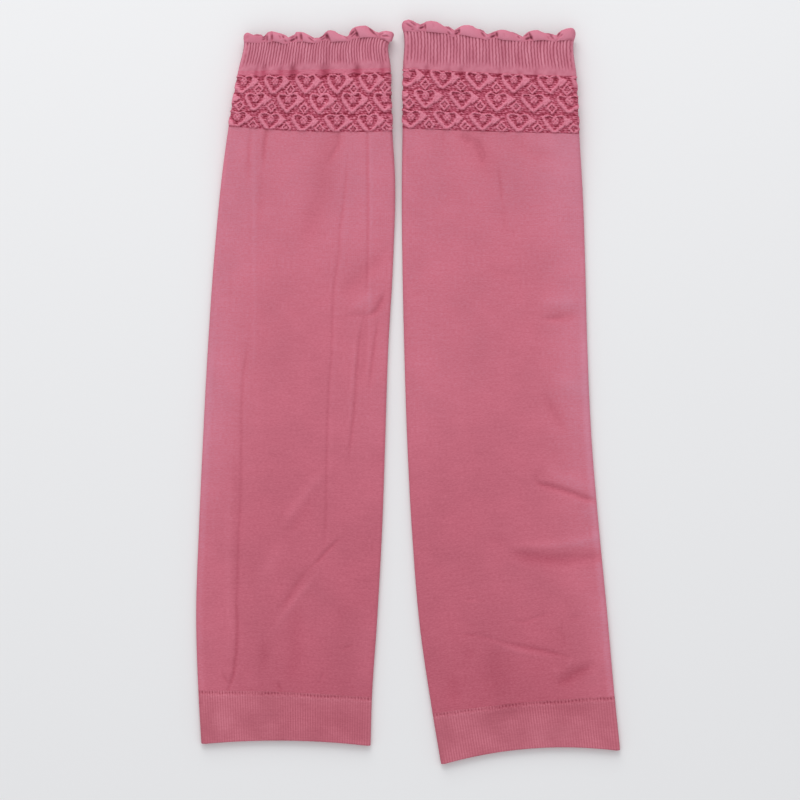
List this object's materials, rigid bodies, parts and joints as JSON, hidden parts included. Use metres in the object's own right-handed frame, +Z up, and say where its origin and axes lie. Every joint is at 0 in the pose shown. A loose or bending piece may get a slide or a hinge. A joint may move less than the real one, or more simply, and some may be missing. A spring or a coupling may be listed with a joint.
{
  "type": "pair of knitted arm sleeves",
  "caption": "Pair of long fingerless knit arm sleeves laid flat, each with a scalloped frill, a ribbed band, a band of raised hearts, a plain body and a turned cuff.",
  "frame": {"origin": "middle of the pair's bounding box, on the surface that the sleeves lie on", "axes": "+X across the pair to the right as seen from above, +Y up the sleeves towards the frills, +Z up from the surface"},
  "size_m": [0.2373, 0.4167, 0.0033],
  "materials": {
    "rolled_welt_knit": "plain knit welt rolled to a soft scalloped edge, dusty rose, matt with a faint sheen",
    "ribbed_knit": "narrow ribs of stretch knit, dusty rose, matt",
    "heart_jacquard_knit": "raised rose hearts and diamonds on a crinkled deeper rose ground, matt",
    "plain_jersey_knit": "fine plain jersey, dusty rose, matt with a soft sheen at the folds",
    "turned_cuff_knit": "double turned cuff with very fine ribs, slightly deeper rose, matt"
  },
  "bodies": {
    "root": {"left_frill": "rolled_welt_knit", "left_ribs": "ribbed_knit", "left_hearts": "heart_jacquard_knit", "left_body": "plain_jersey_knit", "left_cuff": "turned_cuff_knit", "right_frill": "rolled_welt_knit", "right_ribs": "ribbed_knit", "right_hearts": "heart_jacquard_knit", "right_body": "plain_jersey_knit", "right_cuff": "turned_cuff_knit"}
  },
  "joints": []
}
